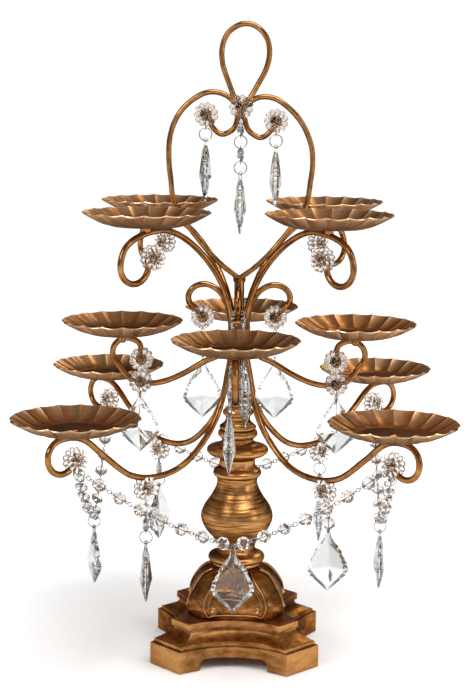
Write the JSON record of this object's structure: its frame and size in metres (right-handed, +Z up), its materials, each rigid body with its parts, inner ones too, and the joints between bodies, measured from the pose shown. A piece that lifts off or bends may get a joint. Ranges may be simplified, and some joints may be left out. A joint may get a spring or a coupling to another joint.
{
  "type": "tiered cake stand",
  "caption": "Tiered dessert stand: scalloped plates on scrolled wire arms around a turned column with a loop handle, hung with glass drops and bead garlands.",
  "frame": {"origin": "centre of the footprint, on the plane of the feet", "axes": "+Z up along the column, -Y towards the front, +X to the right"},
  "size_m": [0.432, 0.432, 0.6629],
  "materials": {
    "column_bronze": "antique bronze, brushed on by hand over a dark ground",
    "wire_bronze": "antique bronze with dark glaze in the joints",
    "plate_bronze": "satin antique bronze, brighter along the flute creases",
    "screw_bronze": "antique bronze",
    "fastener_steel": "zinc plated",
    "crystal": "clear faceted glass on chromed wire rings"
  },
  "bodies": {
    "stand": {"base_plinth": "column_bronze", "base_dome": "column_bronze", "column_vase": "column_bronze", "column_cap": "column_bronze", "tie_rod": "fastener_steel", "base_nut": "fastener_steel", "base_washer": "fastener_steel", "centre_tube": "wire_bronze", "handle_frame": "wire_bronze", "main_arm_back_right": "wire_bronze", "top_back_right_plate": "plate_bronze", "top_back_right_plate_screw": "screw_bronze", "bottom_back_right_plate": "plate_bronze", "bottom_back_right_plate_screw": "screw_bronze", "main_arm_back_left": "wire_bronze", "top_back_left_plate": "plate_bronze", "top_back_left_plate_screw": "screw_bronze", "bottom_back_left_plate": "plate_bronze", "bottom_back_left_plate_screw": "screw_bronze", "main_arm_front_left": "wire_bronze", "top_front_left_plate": "plate_bronze", "top_front_left_plate_screw": "screw_bronze", "bottom_front_left_plate": "plate_bronze", "bottom_front_left_plate_screw": "screw_bronze", "main_arm_front_right": "wire_bronze", "top_front_right_plate": "plate_bronze", "top_front_right_plate_screw": "screw_bronze", "bottom_front_right_plate": "plate_bronze", "bottom_front_right_plate_screw": "screw_bronze", "middle_arm_right": "wire_bronze", "middle_right_plate": "plate_bronze", "middle_right_plate_screw": "screw_bronze", "middle_arm_back": "wire_bronze", "middle_back_plate": "plate_bronze", "middle_back_plate_screw": "screw_bronze", "middle_arm_left": "wire_bronze", "middle_left_plate": "plate_bronze", "middle_left_plate_screw": "screw_bronze", "middle_arm_front": "wire_bronze", "middle_front_plate": "plate_bronze", "middle_front_plate_screw": "screw_bronze"},
    "handle_drop_left": {"handle_drop_left": "crystal"},
    "handle_drop_right": {"handle_drop_right": "crystal"},
    "handle_drop_centre": {"handle_drop_centre": "crystal"},
    "inner_drop_right": {"inner_drop_right": "crystal"},
    "outer_drop_right": {"outer_drop_right": "crystal"},
    "inner_drop_back": {"inner_drop_back": "crystal"},
    "outer_drop_back": {"outer_drop_back": "crystal"},
    "inner_drop_left": {"inner_drop_left": "crystal"},
    "outer_drop_left": {"outer_drop_left": "crystal"},
    "inner_drop_front": {"inner_drop_front": "crystal"},
    "outer_drop_front": {"outer_drop_front": "crystal"},
    "lower_drop_front_left": {"lower_drop_front_left": "crystal"},
    "lower_drop_front_right": {"lower_drop_front_right": "crystal"},
    "lower_drop_back_left": {"lower_drop_back_left": "crystal"},
    "lower_drop_back_right": {"lower_drop_back_right": "crystal"},
    "garland_right": {"garland_right": "crystal"},
    "garland_back": {"garland_back": "crystal"},
    "garland_left": {"garland_left": "crystal"},
    "garland_front": {"garland_front": "crystal"}
  },
  "joints": [
    {"name": "handle_drop_left_swing", "type": "hinge", "parent": "stand", "child": "handle_drop_left", "pos_m": [-0.036, -0.0065, 0.5556], "axis": [0, 1, 0], "range_deg": [-15, 15]},
    {"name": "handle_drop_right_swing", "type": "hinge", "parent": "stand", "child": "handle_drop_right", "pos_m": [0.036, -0.0065, 0.5496], "axis": [0, 1, 0], "range_deg": [-15, 15]},
    {"name": "handle_drop_centre_swing", "type": "hinge", "parent": "stand", "child": "handle_drop_centre", "pos_m": [0, -0.0085, 0.5636], "axis": [0, 1, 0], "range_deg": [-15, 15]},
    {"name": "inner_drop_right_swing", "type": "hinge", "parent": "stand", "child": "inner_drop_right", "pos_m": [0.038, 0.0085, 0.3466], "axis": [0, -1, 0], "range_deg": [-4, 18]},
    {"name": "outer_drop_right_swing", "type": "hinge", "parent": "stand", "child": "outer_drop_right", "pos_m": [0.103, -0.006, 0.2796], "axis": [0, -1, 0], "range_deg": [-20, 20]},
    {"name": "inner_drop_back_swing", "type": "hinge", "parent": "stand", "child": "inner_drop_back", "pos_m": [-0.0085, 0.038, 0.3466], "axis": [1, 0, 0], "range_deg": [-4, 18]},
    {"name": "outer_drop_back_swing", "type": "hinge", "parent": "stand", "child": "outer_drop_back", "pos_m": [-0.006, 0.103, 0.2796], "axis": [1, 0, 0], "range_deg": [-20, 20]},
    {"name": "inner_drop_left_swing", "type": "hinge", "parent": "stand", "child": "inner_drop_left", "pos_m": [-0.038, 0.0085, 0.3466], "axis": [0, 1, 0], "range_deg": [-4, 18]},
    {"name": "outer_drop_left_swing", "type": "hinge", "parent": "stand", "child": "outer_drop_left", "pos_m": [-0.103, -0.006, 0.2796], "axis": [0, 1, 0], "range_deg": [-20, 20]},
    {"name": "inner_drop_front_swing", "type": "hinge", "parent": "stand", "child": "inner_drop_front", "pos_m": [0.0085, -0.038, 0.3466], "axis": [-1, 0, 0], "range_deg": [-4, 18]},
    {"name": "outer_drop_front_swing", "type": "hinge", "parent": "stand", "child": "outer_drop_front", "pos_m": [-0.006, -0.103, 0.2796], "axis": [-1, 0, 0], "range_deg": [-20, 20]},
    {"name": "lower_drop_front_left_swing", "type": "hinge", "parent": "stand", "child": "lower_drop_front_left", "pos_m": [-0.0898, -0.0898, 0.1836], "axis": [-0.7071, 0.7071, 0], "range_deg": [-18, 18]},
    {"name": "lower_drop_front_right_swing", "type": "hinge", "parent": "stand", "child": "lower_drop_front_right", "pos_m": [0.09475, -0.08485, 0.1836], "axis": [-0.7071, -0.7071, 0], "range_deg": [-18, 18]},
    {"name": "lower_drop_back_left_swing", "type": "hinge", "parent": "stand", "child": "lower_drop_back_left", "pos_m": [-0.0898, 0.0898, 0.1836], "axis": [0.7071, 0.7071, 0], "range_deg": [-18, 18]},
    {"name": "lower_drop_back_right_swing", "type": "hinge", "parent": "stand", "child": "lower_drop_back_right", "pos_m": [0.0898, 0.0898, 0.1836], "axis": [0.7071, -0.7071, 0], "range_deg": [-18, 18]},
    {"name": "garland_right_swing", "type": "hinge", "parent": "stand", "child": "garland_right", "pos_m": [0.15274, 0, 0.24], "axis": [0, -1, 0], "range_deg": [-12, 12]},
    {"name": "garland_back_swing", "type": "hinge", "parent": "stand", "child": "garland_back", "pos_m": [0, 0.15274, 0.24], "axis": [1, 0, 0], "range_deg": [-12, 12]},
    {"name": "garland_left_swing", "type": "hinge", "parent": "stand", "child": "garland_left", "pos_m": [-0.15274, 0, 0.24], "axis": [0, 1, 0], "range_deg": [-12, 12]},
    {"name": "garland_front_swing", "type": "hinge", "parent": "stand", "child": "garland_front", "pos_m": [0, -0.15274, 0.24], "axis": [-1, 0, 0], "range_deg": [-12, 12]}
  ]
}
